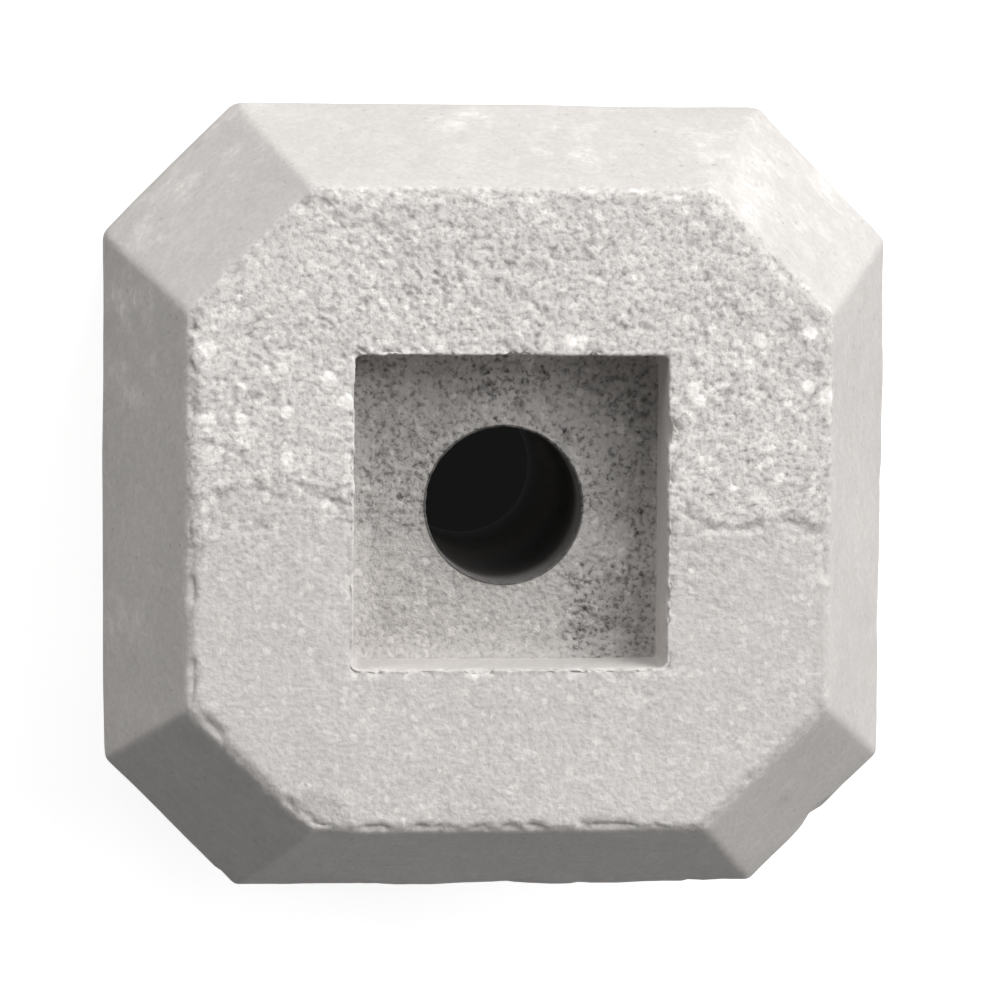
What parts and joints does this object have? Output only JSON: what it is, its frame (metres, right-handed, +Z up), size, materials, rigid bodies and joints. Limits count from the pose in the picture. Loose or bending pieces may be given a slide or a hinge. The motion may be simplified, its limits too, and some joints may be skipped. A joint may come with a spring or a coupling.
{
  "type": "column base block",
  "caption": "Cast concrete base block with an octagonal plan and sloping crown, a square recess for the foot of a column and a round hole through the middle.",
  "frame": {"origin": "centre of the underside", "axes": "+Z up along the centre hole, +X and +Y each square to a long side"},
  "size_m": [0.246, 0.246, 0.2],
  "materials": {
    "concrete": "dry-cast concrete, rough open face on top, smoother mould-faced sides"
  },
  "bodies": {
    "root": {"base_block": "concrete"}
  },
  "joints": []
}
